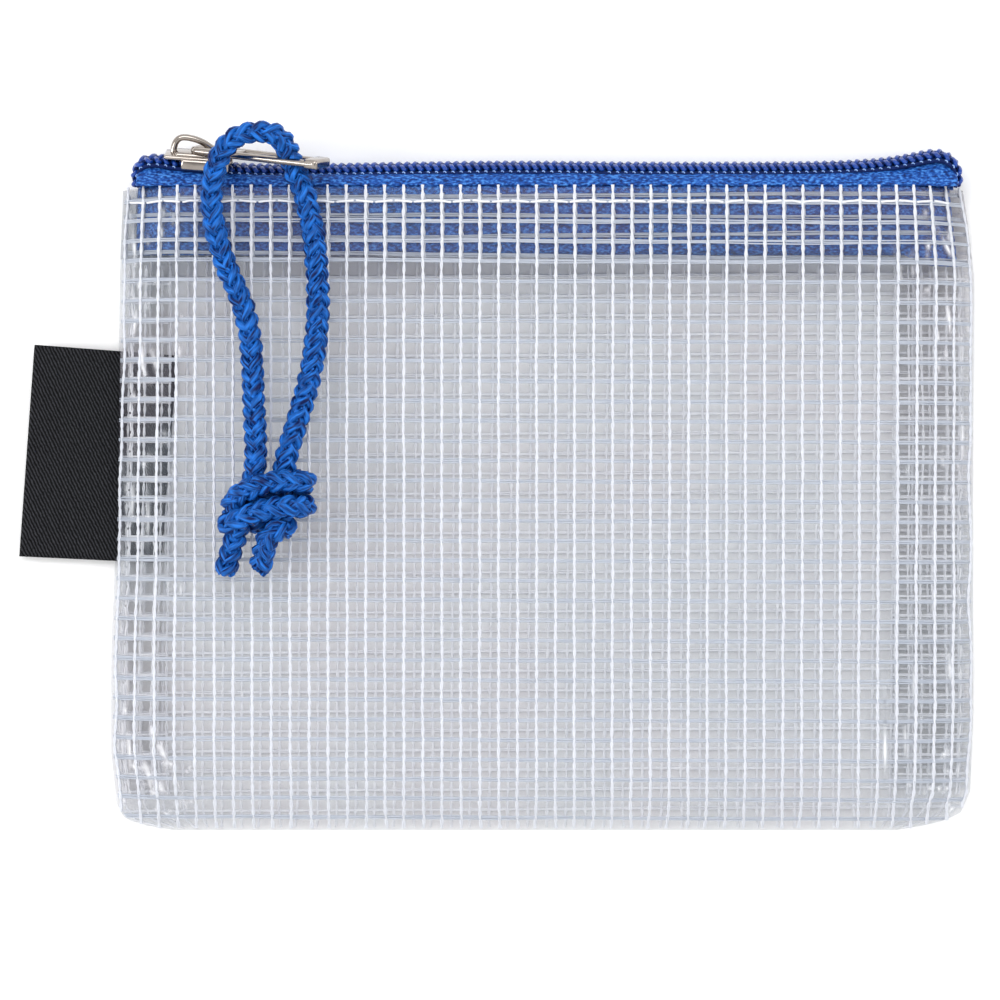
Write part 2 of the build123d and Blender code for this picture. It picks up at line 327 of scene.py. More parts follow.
# --------------------------------------------
# Pouch sheet.
# One piece of clear soft film, folded at the bottom into two walls. Its top
# edges are turned in as hems, its sides are sewn shut with the allowances
# left inside, and the seams pull the film into small creases.

sheet_low, sheet_high = (Vector(corner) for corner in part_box("pouch_sheet"))
half_wide = sheet_high.x
bottom, mouth = sheet_low.y, sheet_high.y
wall_drop = 0.0031  # how much lower the front wall lies at the bottom fold than at the mouth
rim_high = 0.0008  # the side seams' height above the table
film_thick = 0.00035
hem_deep = 0.0105
hem_drop = 0.00062
side_roll, bottom_roll = 0.011, 0.012  # how far in from an edge the walls stand fully apart
flat_half = 0.050  # past this distance from the middle, the seams pull the film sideways


def ease(value, start, end):
    """0 before start and 1 after end, with a soft change between."""
    share = min(max((value - start) / (end - start), 0), 1)
    return share * share * (3 - 2 * share)


# The closed pouch's side outlines, in millimetres: height, and distance from the middle
left_outline = [
    (-48.3, 56), (-47.4, 61.4), (-46.4, 63.5), (-44.4, 64.6), (-36, 65.5), (-20, 65.4),
    (-9, 64.9), (23, 64.3), (36, 64.1), (48.3, 63.6),
]
right_outline = [
    (-48.3, 53), (-47.3, 59), (-45.8, 62.7), (-42.5, 64.2), (-30, 64.7), (0, 64.6),
    (35, 64.8), (40, 64.2), (48.3, 63.1),
]


def seam_x(side, y):
    """How far the side seam lies from the middle at y."""
    heights, widths = zip(*(left_outline if side < 0 else right_outline))
    return float(np.interp(y * 1000, heights, widths)) / 1000


def drawn_x(x, y):
    """Where a point of the flat sheet comes to lie once the side seams are closed."""
    if abs(x) <= flat_half:
        return x
    side = math.copysign(1, x)
    share = (abs(x) - flat_half) / (half_wide - flat_half)
    return side * (flat_half + share * (seam_x(side, y) - flat_half))


# Folds that the seams press into the film, in millimetres: from, to, height and width
front_folds = [
    (-59.4, -31, -57.2, -37, 0.9, 1.6), (-58.4, -33, -54, -43.5, 0.7, 0.6),
    (-62.6, -38.6, -57.4, -38.9, 0.4, 0.4), (-62.4, -41.2, -58.6, -41.4, 0.4, 0.4),
    (-60, -43.4, -57.6, -41.8, 0.5, 0.4), (-57.6, -41.8, -55, -43.6, 0.5, 0.4),
    (-59.2, -46.4, -56.4, -42.6, 0.5, 0.4), (-56.6, -47, -54.2, -43, 0.45, 0.4),
    (-62.9, -22, -62.2, -43, 0.45, 0.6), (-61.6, -30, -58, -46.6, 0.4, 0.5),
    (-63, -46, -55, -40, 0.55, 0.6), (-58.4, -47.6, -54, -42, -0.45, 0.5),
    (-56.6, -36, -53, -47.5, 0.35, 0.4), (-62, -38.5, -53.5, -37.6, 0.3, 0.4),
    (-60.4, -44.6, -52, -47.6, 0.35, 0.5), (-62.4, 20, -61, 33, 0.45, 0.6),
    (-60.2, 16, -60.6, 31.5, 0.6, 0.7), (-61.6, 24, -59, 19, 0.4, 0.5),
    (-59.4, 27, -57, 16, -0.35, 0.7), (-62.6, 46, -61.2, 36, 0.4, 0.5),
    (-61.4, 12, -62.2, -6, 0.35, 0.5), (-59.2, 8, -59.8, -14, -0.3, 0.6),
    (60.4, -18, 61.4, -34, 0.6, 0.7), (50.6, -22, 51, -44, 0.5, 0.6),
    (53.6, -26, 54.4, -46, -0.4, 0.5), (55, -20, 55.8, -40, 0.4, 0.5),
    (57, -40, 61.6, -34.6, 0.45, 0.6), (56, -46, 62.4, -40, 0.45, 0.6),
    (59, -47, 63.2, -43.6, -0.4, 0.5), (50, -44, 53, -47.4, 0.5, 0.6),
    (62.6, 30, 62.9, 2, 0.4, 0.6), (59.6, 36, 61.4, 20, 0.4, 0.6),
    (52, 40, 53.4, 31, 0.4, 0.5), (57.6, 44, 62, 36, 0.45, 0.6),
    (35, -46.6, 35.6, -43, 0.35, 0.5), (29.5, -41.5, 33, -44.8, 0.25, 0.5),
    (-48, -45.4, -40, -46.4, 0.3, 0.4), (0, 34, 6, 29, -0.15, 2.5),
]


def seam_puckers(side, seed):
    """Small upright folds that the stitches pull into the film beside a seam."""
    picker = random.Random(seed)
    folds = []
    for _ in range(46):
        x = side * (64.0 - 11.5 * picker.random() ** 1.5)
        y = picker.uniform(-44, 46)
        long = picker.uniform(1.5, 7.0)
        lean = picker.uniform(-0.6, 0.6)
        height = picker.choice((-1, 1)) * picker.uniform(0.15, 0.5)
        folds.append((x, y, x + lean, y + long, height, picker.uniform(0.35, 0.7)))
    for _ in range(10):
        x = side * picker.uniform(53, 63)
        y = picker.uniform(-46.5, -38)
        turn = picker.uniform(-1.2, 1.2)
        long = picker.uniform(2, 5)
        folds.append((x, y, x + long * math.sin(turn), y + long * math.cos(turn), 0.4, 0.4))
    return folds


front_folds += seam_puckers(-1, 3) + seam_puckers(1, 5)
front_folds += [
    (side * (63.9 - 0.5 * k), low, side * (63.9 - 0.6 * k), low + 26, 0.22, 0.35)
    for side in (-1, 1) for k in (0, 1, 2) for low in (-42, -14, 15)
]
back_folds = [
    (-60, -20, -57, -44, 0.3, 0.8), (-62, 30, -60, -6, 0.3, 0.7),
    (56, -8, 54, -44, 0.3, 0.8), (60, 36, 61, 4, 0.3, 0.7),
    (-20, -47, -26, -30, 0.12, 2), (24, -46, 30, -24, 0.12, 2),
]


# Places over one wall, in millimetres, about 0.36 mm apart: the rows of the tables below
xs, ys = np.meshgrid(np.linspace(-64.5, 64.5, 359), np.linspace(-48.3, 48.3, 269))


def beside_fold(x0, y0, x1, y1):
    """How far along a fold each place lies, as a share of it, and how far away from it."""
    share = ((xs - x0) * (x1 - x0) + (ys - y0) * (y1 - y0)) / ((x1 - x0) ** 2 + (y1 - y0) ** 2)
    inside = np.clip(share, 0, 1)
    return share, np.hypot(xs - x0 - inside * (x1 - x0), ys - y0 - inside * (y1 - y0))


def fold_heights(folds, swing, seed):
    """Heights of the creases and slow waves over the flat sheet."""
    picker = np.random.default_rng(seed)
    heights = np.zeros_like(xs)
    near_seam = np.exp(-(64.5 - np.abs(xs)) / 4.5)
    longest = 46
    for wave_long in np.geomspace(5, longest, 34):
        way = picker.uniform(0, math.pi)
        turn = (xs * math.cos(way) + ys * math.sin(way)) * math.tau / wave_long
        heights += swing * wave_long / longest * np.sin(turn + picker.uniform(0, math.tau))
    for _ in range(16):
        at = picker.uniform(-50, 50)
        pull = np.exp(-((ys - at) / picker.uniform(0.8, 2.2)) ** 2)
        side = np.where(xs * picker.choice([-1, 1]) > 0, 1.0, 0.0)
        heights += side * near_seam * pull * picker.uniform(-0.5, 0.5)
    for *line, height, wide in folds:
        share, away = beside_fold(*line)
        fade = np.sin(np.clip(share * 0.9 + 0.05, 0, 1) * math.pi) ** 0.5
        heights += height * fade * np.exp(-np.abs(away / wide) ** 1.3)
    return heights / 1000


def fold_whitening_and_glints(folds):
    """How whitened the film is by its sharp folds, with painted glints along them, from 0 to 1."""
    whitening_and_glint_mask = np.zeros_like(xs)
    for *line, height, wide in folds:
        share, away = beside_fold(*line)
        fade = np.sin(np.clip(share, 0, 1) * math.pi)
        patchy = 0.6 + 0.4 * np.sin(share * (9 + 5 * abs(height)) + line[0])
        spread = np.exp(-((away / (0.16 + 0.26 * wide)) ** 2))
        whitening_and_glint_mask = np.maximum(whitening_and_glint_mask, fade * patchy * spread * min(abs(height) * 2.4, 1))
    return whitening_and_glint_mask


front_creases = fold_heights(front_folds, 0.030, 7)
back_creases = fold_heights(back_folds, 0.022, 11)


def crease_at(table, x, y):
    """Height of the creases at a point of the flat sheet."""
    column = min(max((x / half_wide + 1) / 2, 0), 0.9999) * (table.shape[1] - 1)
    row = min(max((y - bottom) / (mouth - bottom), 0), 0.9999) * (table.shape[0] - 1)
    i, j = int(row), int(column)
    up, over = row - i, column - j
    low = table[i, j] * (1 - over) + table[i, j + 1] * over
    return low * (1 - up) + (table[i + 1, j] * (1 - over) + table[i + 1, j + 1] * over) * up


def openness(x, y):
    """0 at the side seams and the bottom fold, and 1 where the walls stand fully apart."""
    inset = half_wide - abs(x)
    side = 1 - (1 - min(inset / side_roll, 1)) ** 2.4
    return side * (1 - (1 - min((y - bottom) / bottom_roll, 1)) ** 2.4)


def on_front(x, y, lift=0):
    """A point of the front wall: x and y on the flat sheet, lift above the film."""
    wall = sheet_high.z - wall_drop * (mouth - y) / (mouth - bottom) - film_thick / 2
    apart = openness(x, y)
    z = rim_high + (wall - rim_high) * apart + crease_at(front_creases, x, y) * (0.35 + 0.65 * apart)
    return Vector((drawn_x(x, y), y, max(z + lift, rim_high * 0.9)))


def on_back(x, y, lift=0):
    """A point of the back wall, lift above the film."""
    rise = (1 - openness(x, y)) ** 2
    z = film_thick / 2 + (rim_high - film_thick) * rise + max(crease_at(back_creases, x, y), -0.00005)
    return Vector((drawn_x(x, y), y, z + lift))


def mapped_grid(name, columns, rows, place):
    """A grid sheet with its UV map, each point put by place(across, along), both 0 to 1."""
    form = bmesh.new()
    form.loops.layers.uv.new("UVMap")
    bmesh.ops.create_grid(form, x_segments=columns, y_segments=rows, size=0.5, calc_uvs=True)
    for vertex in form.verts:
        vertex.co = place(vertex.co.x + 0.5, vertex.co.y + 0.5)
    mesh = bpy.data.meshes.new(name)
    form.to_mesh(mesh)
    form.free()
    return mesh


wall_long = mouth - bottom
sheet_long = 2 * (wall_long + hem_deep)


def film_place(across, along):
    """The sheet from the front hem's raw edge, down the front, round the fold and up the back."""
    x = math.sin((across * 2 - 1) * math.pi / 2) * half_wide
    at = along * sheet_long
    if at < hem_deep:
        return on_front(x, mouth - hem_deep + at, -hem_drop * ease(hem_deep - at, 0, 0.0012))
    if at < hem_deep + wall_long:
        return on_front(x, mouth - (at - hem_deep))
    if at < hem_deep + 2 * wall_long:
        return on_back(x, bottom + at - hem_deep - wall_long)
    past = at - hem_deep - 2 * wall_long
    return on_back(x, mouth - past, 0.0006 * ease(past, 0, 0.0012))


# Calendered soft PVC: clear with a faint grey-lilac cast, whitened along its folds, with painted glints
# there too: a white colour, less clearness and a faint glow stand in for reflections
film, tree = new_tree("clear_calendered_film")
whitening_and_glint_mask = add_node(tree, "Attribute", {}, attribute_name="fold_whitening_and_glint")
place = add_node(tree, "TexCoord", {})
cast = add_node(tree, "TexNoise", {"Vector": place.outputs["Object"], "Scale": 45.0, "Detail": 1.0})
tint = add_node(
    tree, "ValToRGB", {"Fac": cast.outputs["Fac"]}, [(0.42, "#858290"), (0.58, "#7c8694")]
)
ripple = add_node(tree, "TexNoise", {"Vector": place.outputs["Object"], "Scale": 700.0, "Detail": 3.0})
relief = add_node(tree, "Bump", {"Height": ripple.outputs["Fac"], "Strength": 0.12, "Distance": 0.0002})
# Painted highlight: along the folds the colour goes to white and the film grows less clear, partly its own
# stress whitening and partly painted glints
whitened_and_glinting_colour = add_node(tree, "MixRGB", {
    "Fac": whitening_and_glint_mask.outputs["Fac"], "Color1": tint.outputs["Color"], "Color2": linear("#fbfcff"),
})
clear = add_node(tree, "MapRange", {"Value": whitening_and_glint_mask.outputs["Fac"], "To Min": 0.135, "To Max": 0.9})
# Painted glint: a faint white glow along the folds, though the film is no lamp
painted_glint_glow = add_node(tree, "MapRange", {"Value": whitening_and_glint_mask.outputs["Fac"], "From Min": 0.2, "To Max": 0.45})
close_tree(tree, add_node(tree, "BsdfPrincipled", {
    "Base Color": whitened_and_glinting_colour.outputs["Color"], "Normal": relief.outputs["Normal"], "Roughness": 0.14,
    "IOR": 1.53, "Alpha": clear.outputs["Result"],
    "Emission Color": linear("#ffffff"), "Emission Strength": painted_glint_glow.outputs["Result"],
}))
film_mesh = mapped_grid("pouch_film", 270, 330, film_place)
# The front wall's whitening and painted glints along its folds, kept on the film's points
front_whitening_and_glints = fold_whitening_and_glints(front_folds)
whitening_and_glint_layer = film_mesh.attributes.new("fold_whitening_and_glint", "FLOAT", "POINT")
for vertex, mark in zip(film_mesh.vertices, whitening_and_glint_layer.data):
    if vertex.co.z > rim_high:
        mark.value = crease_at(front_whitening_and_glints, vertex.co.x, vertex.co.y)
film_piece = new_piece("pouch_film", film_mesh, film)
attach(film_piece, "pouch")
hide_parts("pouch_sheet")

# --------------------------------------------
# Seam allowances.
# The sheet's side edges, about 8 mm of both walls on the left and 12 mm on
# the right, lie inside the pouch beside each seam, crinkled by the stitches.

# The same film, thinner drawn and so a little clearer, its colour painted near white: painted light that
# lifts the shade of the stacked layers beside the seams
seam_film, tree = new_tree("clear_seam_film")
place = add_node(tree, "TexCoord", {})
ripple = add_node(tree, "TexNoise", {"Vector": place.outputs["Object"], "Scale": 500.0, "Detail": 3.0})
relief = add_node(tree, "Bump", {"Height": ripple.outputs["Fac"], "Strength": 0.2, "Distance": 0.0002})
close_tree(tree, add_node(tree, "BsdfPrincipled", {
    "Base Color": linear("#f4f6fb"), "Normal": relief.outputs["Normal"], "Roughness": 0.12,
    "IOR": 1.53, "Alpha": 0.035,
}))

flap_layers = 2
left_flap_wide, right_flap_wide = 0.0075, 0.0115


def flap_point(side, wide, layer, x, y):
    """A point of a seam allowance: x is its distance from the seam."""
    crinkle = 0.00035 * drift(side * x * 420, y * 60, layer * 5)
    crinkle += 0.0002 * drift(x * 900, y * 220, layer * 9 + side)
    spread = math.sin(math.pi * min(max(x / wide, 0), 1))
    front_room = on_front(side * (half_wide - x), y).z
    high = 0.0008 + 0.0006 * layer + (0.0011 + 0.0006 * layer) * spread
    z = min(high, front_room - 0.00035) + crinkle
    sway = 0.0006 * drift(side * 3 + layer, y * 45, 0)
    flat_x = side * (half_wide - 0.0006 - x - sway * spread)
    return Vector((drawn_x(flat_x, y), y, max(z, 0.0005)))


def flap_wall(side, wide, layer):
    """Gives the points of one layer of a seam allowance: x from the seam, lift above the layer."""
    def on_flap(x, y, lift):
        return flap_point(side, wide, layer, x, y) + Vector((0, 0, lift))
    return on_flap


for name, side in (("left_seam_flap", -1), ("right_seam_flap", 1)):
    flap_low, flap_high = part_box(name)
    flap_wide = flap_high[0] - flap_low[0]
    flap_long = flap_high[1] - flap_low[1]

    def flap_place(across, along):
        """Both layers side by side: the lower one up to the seam, then the upper one back."""
        layer = 0 if across < 0.5 else 1
        x = flap_wide * abs(1 - 2 * across)
        return flap_point(side, flap_wide, layer, x, flap_low[1] + along * flap_long)

    flap = new_piece(name + "_film", mapped_grid(name + "_film", 40, 150, flap_place), seam_film)
    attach(flap, "pouch")
    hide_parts(name)

# --------------------------------------------
# Scrim.
# An open leno net of white polyester yarn, laminated inside the film about
# every 3 mm. Pairs of warp yarns twist up the pouch, and flat weft yarns
# cross between them.

warp_gap, weft_gap = 0.002835, 0.00298
warp_at, weft_at = 0.00438, 0.0103
back_warp_gap = 0.002886
twist_pitch = 0.0034


def counted(first, gap, low, high):
    """Every place first + n * gap between low and high."""
    start = math.ceil((low - first) / gap)
    return [first + n * gap for n in range(start, math.floor((high - first) / gap) + 1)]


def warp_yarn(wall, x, low, high, step, lean=0.0, lift=0.0001):
    """Two strands twisted about each other up a wall."""
    count = round((high - low) / step)
    phase = drift(x * 7000, low * 300, 1) * 4
    strands = [[], []]
    for n in range(count + 1):
        y = low + (high - low) * n / count
        turn = y * math.tau / twist_pitch + phase
        wander = 0.00011 * drift(x * 4000, y * 160, 3)
        wander += 0.0006 * (1 - openness(x, y)) * drift(x * 500, y * 110, 8)
        swell = 1 + 0.25 * drift(x * 3000, y * 700, 5)
        for hand, strand in zip((1, -1), strands):
            point = wall(x + wander + lean * y + hand * 0.00013 * math.cos(turn), y, lift)
            point.z += hand * 0.00006 * math.sin(turn)
            strand.append((*point, swell))
    return strands


def weft_yarn(wall, y, low, high, step, slope=0.0, lift=0.00012, strands=3):
    """Loose strands side by side across a wall."""
    count = round((high - low) / step)
    result = []
    for k in range(strands):
        strand = []
        for n in range(count + 1):
            x = low + (high - low) * n / count
            wander = 0.00016 * drift(x * 90, y * 5000, k * 7)
            over = (k - (strands - 1) / 2) * 0.00019
            at = min(max(y + wander + over + slope * x, bottom + 0.0002), mouth - 0.0002)
            strand.append(wall(x, at, lift))
        result.append(strand)
    return result


def speckled(name, scale, dark, light, sockets, relief=0):
    """A spun or drawn finish, whose colour varies in specks about 1 / scale metres wide."""
    material, tree = new_tree(name)
    place = add_node(tree, "TexCoord", {})
    specks = add_node(tree, "TexNoise", {"Vector": place.outputs["Object"], "Scale": scale}).outputs["Fac"]
    tint = add_node(tree, "ValToRGB", {"Fac": specks}, [(0, dark), (1, light)])
    sockets = {"Base Color": tint.outputs["Color"], "IOR": 1.5, **sockets}
    if relief:
        bump = add_node(tree, "Bump", {"Height": specks, "Strength": relief, "Distance": 0.0001})
        sockets["Normal"] = bump.outputs["Normal"]
    close_tree(tree, add_node(tree, "BsdfPrincipled", sockets))
    return material


# Texturised polyester: bright white, matt, its filaments catching the light in short dashes
yarn = speckled("white_polyester_yarn", 900.0, "#cfd2db", "#e6e9f0", {"Roughness": 0.5}, relief=0.4)

# The back wall's net is painted whiter than the front's: painted light standing in for the brightness it
# takes from the white surface it lies on
back_yarn = speckled("lit_back_yarn", 900.0, "#e6e8ef", "#fcfdff", {"Roughness": 0.6})

# The weft is the same yarn spread flat and wetted through by the film, so it shows greyer
soaked_yarn = speckled(
    "film_soaked_yarn", 600.0, "#bfc7d5", "#d6dce7", {"Roughness": 0.35, "Alpha": 0.7}
)

corner_top = bottom + 0.0042


def straight_front(x, y, lift):
    """A point of the front wall whose yarn runs straight down into a corner."""
    point = on_front(x, y, lift)
    return Vector((drawn_x(x, max(y, corner_top)), point.y, point.z))


edge = half_wide - 0.0004
front_warps = []
for x in counted(warp_at, warp_gap, -edge, edge):
    low = bottom + 0.0004
    while seam_x(x, low) < abs(drawn_x(x, corner_top)) + 0.0001 and low < corner_top:
        low += 0.0003
    front_warps += warp_yarn(straight_front, x, low, mouth + 0.0002, 0.0008)
front_wefts = []
for y in counted(weft_at, weft_gap, bottom + 0.001, mouth - 0.0005):
    front_wefts += weft_yarn(on_front, y, -edge, edge, 0.0014, slope=-0.004)
back_warps = []
for x in counted(-0.0513, back_warp_gap, -edge, edge):
    back_warps += warp_yarn(on_back, x, bottom + 0.0004, mouth - 0.0002, 0.0012, lean=0.008)
back_wefts = []
for y in counted(weft_at + 0.0012, weft_gap, bottom + 0.001, mouth - 0.0005):
    back_wefts += weft_yarn(on_back, y, -edge, edge, 0.0022, slope=0.006, lift=0.0001, strands=2)
hem_warps = []
for x in counted(warp_at + 0.0002, warp_gap, -edge, edge):
    ravel = 0.0006 * drift(x * 3000, 2, 2)
    low = mouth - hem_deep - 0.0005 + ravel
    hem_warps += warp_yarn(on_front, x, low, mouth - 0.001, 0.0008, lift=-hem_drop)
hem_wefts = []
for n, y in enumerate(counted(mouth - 0.0014, weft_gap, mouth - hem_deep - 0.0004, mouth)):
    slope = (-0.011, 0.009, -0.004, 0.007)[n % 4]
    hem_wefts += weft_yarn(on_front, y, -edge, edge, 0.0014, slope=slope, lift=-hem_drop)
flap_yarns = []
for side, wide in ((-1, left_flap_wide), (1, right_flap_wide)):
    for layer in range(flap_layers):
        on_flap = flap_wall(side, wide, layer)
        gap = warp_gap * (0.66 if layer else 0.88)
        for x in counted(0.0011 + 0.0006 * layer, gap, 0.0008, wide):
            flap_yarns += warp_yarn(on_flap, x, bottom + 0.0055, mouth - 0.0115, 0.0009)
        for y in counted(weft_at + 0.0006 * layer, weft_gap, bottom + 0.007, mouth - 0.012):
            flap_yarns += weft_yarn(on_flap, y, 0.0003, wide, 0.0013, strands=2)

for name, strands, thick, finish in (
    ("front_warp_yarns", front_warps, 0.00018, yarn),
    ("front_weft_yarns", front_wefts, 0.00012, soaked_yarn),
    ("back_warp_yarns", back_warps, 0.00015, back_yarn),
    ("back_weft_yarns", back_wefts, 0.00014, back_yarn),
    ("hem_warp_yarns", hem_warps, 0.00014, yarn),
    ("hem_weft_yarns", hem_wefts, 0.00012, soaked_yarn),
    # The seam allowances' net takes the same whiter colour, painted light
    ("seam_flap_yarns", flap_yarns, 0.00011, back_yarn),
):
    net = new_piece(name, tube_mesh(name, strands, thick), finish)
    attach(net, "pouch")

# --------------------------------------------
# Zip tapes.
# Two strips of blue woven polyester. Each is sewn inside its hem, comes out
# at the mouth and turns up to the coils, and both ends curl down into the
# side seams. The front one opens between its sewn ends.

zip_tilt = math.radians(15)
zip_across = Vector((0, math.sin(zip_tilt), -math.cos(zip_tilt)))
zip_middle_y = mouth + 0.0021
zip_middle_z = (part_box("front_tape")[1][2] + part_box("back_tape")[0][2]) / 2
tape_thick = 0.00035
tape_low = 0.00103
tape_high = sheet_high.z - tape_low
skirt_deep = 0.0100
tape_edge = 0.00085

# The chain's line: how far along, and how far it waves outwards from the zip's straight middle
chain_waves = [
    (-0.0608, -0.0016), (-0.0611, 0.0002), (-0.0602, 0.0016), (-0.0580, 0.0018), (-0.0550, 0.0012),
    (-0.0500, 0.0007), (-0.0440, 0.0002), (-0.0360, 0.0002), (-0.0200, 0.0005), (-0.0050, 0.0007),
    (0.0120, 0.0005), (0.0300, 0.0005), (0.0420, 0.0006), (0.0500, 0.0010), (0.0550, 0.0018),
    (0.0588, 0.0027), (0.0608, 0.0018), (0.0616, 0.0001), (0.0614, -0.0016),
]
outwards = Vector((0, math.cos(zip_tilt), math.sin(zip_tilt)))
zip_centre = Vector((0, zip_middle_y, zip_middle_z))
coil_pitch = 0.00123
chain, chain_long = spaced(
    smooth_line("chain_line", [zip_centre + Vector((x, 0, 0)) + w * outwards for x, w in chain_waves]),
    coil_pitch / 12,
)


def chain_point(share, across, out):
    """A point beside the chain: share runs from 0 to 1 along it."""
    at = min(max(share, 0), 1) * (len(chain) - 1)
    i = min(int(at), len(chain) - 2)
    middle = chain[i].lerp(chain[i + 1], at - i)
    before, after = chain[max(i - 6, 0)], chain[min(i + 6, len(chain) - 1)]
    along = (after - before).normalized()
    lift = along.cross(zip_across).normalized()
    return middle + across * zip_across + out * lift


def share_at(x):
    """Where along the chain the place above x lies, from 0 to 1."""
    return min(range(len(chain)), key=lambda i: abs(chain[i].x - x)) / (len(chain) - 1)


def tape_place(side, first, last):
    """Places a strip of tape from the hem's edge (0) up to the coil (1)."""
    def place(across, along):
        share = first + (last - first) * across
        top = chain_point(share, side * tape_edge, 0)
        x = min(max(top.x, -half_wide + 0.0026), half_wide - 0.0026)
        if side < 0:
            foot = Vector((x, mouth + 0.0001, tape_high))
            knee = Vector((x, mouth + 0.0017, tape_high - 0.0002))
        else:
            foot = Vector((x, mouth - 0.0001, tape_low))
            knee = Vector((x, mouth + 0.0034, tape_low))
        ripple = 0.00012 * drift(x * 260, along * 2, side)
        a, b = foot.lerp(knee, along), knee.lerp(top, along)
        return a.lerp(b, along) + ripple * outwards
    return place


def skirt_place(side):
    """Places the sewn part of a tape, flat inside its hem."""
    def place(across, along):
        x = (2 * across - 1) * (half_wide - 0.0028)
        y = mouth + 0.0001 - skirt_deep * along
        if side < 0:
            y -= 0.0019 * ease(x, 0.052, 0.058) * along
        sag = 0.00015 * drift(x * 70, y * 200, side)
        if side < 0:
            return on_front(x, min(y, mouth), -0.00095 - sag)
        return on_back(x, min(y, mouth), 0.0009 + sag)
    return place


def thick_strip(name, columns, rows, place, thickness, finish):
    """A strip of woven cloth with its real thickness, half of it on each side of its middle."""
    piece = new_piece(name, mapped_grid(name, columns, rows, place), finish)
    solid = piece.modifiers.new("thickness", "SOLIDIFY")
    solid.thickness = thickness
    solid.offset = 0
    return piece


# Woven polyester tape: deep blue; painted highlights make the knuckles where the threads cross lighter, and
# painted shade makes the hollows between them darker
zip_weave, tree = new_tree("woven_polyester_tape")
place = add_node(tree, "TexCoord", {})
thread_long, thread_gap = 0.0006, 0.00032
turned = add_node(tree, "Mapping", {
    "Vector": place.outputs["Object"], "Rotation": (0, 0, 0.45),
    "Scale": (1 / thread_long, 1 / thread_gap, 1 / thread_gap),
})
knuckles = add_node(tree, "TexNoise", {"Vector": turned.outputs[0], "Scale": 1.0, "Detail": 1.5})
# Painted highlights on the knuckles and painted shade between them
tint = add_node(
    tree, "ValToRGB", {"Fac": knuckles.outputs[0]},
    [(0.33, "#03245f"), (0.50, "#0f4ca2"), (0.70, "#4a8cdc")],
)
relief = add_node(tree, "Bump", {"Height": knuckles.outputs[0], "Strength": 0.6, "Distance": 0.0002})
close_tree(tree, add_node(tree, "BsdfPrincipled", {
    "Base Color": tint.outputs["Color"], "Normal": relief.outputs["Normal"], "Roughness": 0.55,
    "IOR": 1.5, "Specular IOR Level": 0.25,
}))

lip_low, lip_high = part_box("front_lip_tape")
left_bend = (lip_low[0] - 0.0065, lip_low[0] + 0.009)
right_bend = (lip_high[0] + 0.013, lip_high[0] - 0.001)
halfway = share_at(0.008)


def bend_open(piece, bend):
    """Bakes a stretch of the front tape's place into its mesh."""
    at = (0, mouth, tape_high)
    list(at[1:])
    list(at[1:])
    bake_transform(piece)


for name, columns, first, last, bend, node in (
    ("front_tape_left", 150, 0, halfway, left_bend, "front_tape"),
    ("front_tape_right", 130, halfway, 1, right_bend, "front_lip_tape"),
):
    strip = thick_strip(name, columns, 10, tape_place(-1, first, last), tape_thick, zip_weave)
    bend_open(strip, bend)
    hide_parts(node)
back_strip = thick_strip("back_tape_strip", 280, 12, tape_place(1, 0, 1), tape_thick, zip_weave)
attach(back_strip, "pouch")
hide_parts("back_tape")
for name, side in (("front_tape_skirt", -1), ("back_tape_skirt", 1)):
    skirt = thick_strip(name, 160, 12, skirt_place(side), tape_thick, zip_weave)
    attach(skirt, "pouch")

# --------------------------------------------
# Zip coils.
# A nylon monofilament is wound round a filler cord on each tape's edge, and
# stitched down. The two coils mesh, one turn of each in turn.

wire = 0.00034
coil_middle = 0.00112
coil_reach = 0.00092
coil_out = 0.00060
coil_half_high = 0.00025


def coil_line(side, first, last):
    """The wound monofilament of one coil, from one place along the chain to another."""
    line = []
    turns = chain_long / coil_pitch
    points = round((last - first) * turns * 12)
    for n in range(points + 1):
        share = first + (last - first) * n / points
        turn = share * turns * math.tau + (math.pi if side > 0 else 0)
        across = side * (coil_middle - coil_reach * math.cos(turn))
        line.append(chain_point(share, across, coil_out + coil_half_high * math.sin(turn)))
    return line


def beside_chain(across, out, first, last, step=0.0006):
    """A thread that follows the chain."""
    count = round((last - first) * chain_long / step)
    return [chain_point(first + (last - first) * n / count, across, out) for n in range(count + 1)]


def filler_and_shadow_lines(side, first, last):
    """The cord inside a coil, and the same dark yarn laid along the coil's foot as a painted shadow between
    coil and tape.
    """
    inner = beside_chain(side * coil_middle, coil_out, first, last)
    return [inner, beside_chain(side * 0.00225, 0, first, last)]


def coil_stitches(side, first, last):
    """The stitches that hold a coil to its tape: one short slanted bar over each turn's foot."""
    bars = []
    turns = chain_long / coil_pitch
    for n in range(math.ceil(first * turns), math.floor(last * turns)):
        bar = []
        for part in (0, 0.25, 0.5, 0.75, 1):
            share = (n + 0.28 + 0.36 * part) / turns
            rise = 0.0002 * math.sin(math.pi * part)
            bar.append(chain_point(share, side * (0.00232 + 0.0002 * part), 0.00012 + rise))
        bars.append(bar)
    return bars


# Dyed nylon monofilament: smooth and darker than the tape, with small sharp highlights
nylon = speckled("dyed_nylon_monofilament", 400.0, "#05256c", "#1650b4", {
    "Roughness": 0.28, "IOR": 1.53, "Specular IOR Level": 0.4,
})

# Spun polyester sewing thread: paler blue and silky
blue_thread = speckled("blue_polyester_thread", 1500.0, "#3f78c8", "#a9c8f4", {"Roughness": 0.4})

# Filler cord: soft spun yarn dyed with the tape, coloured far darker as painted shade from the coil; laid
# along the coil's foot, the same yarn is a painted shadow between coil and tape
filler_and_shadow_yarn = speckled("dark_filler_and_shadow_yarn", 1200.0, "#020c30", "#0a2a6c", {
    "Roughness": 0.8, "Specular IOR Level": 0.2,
})

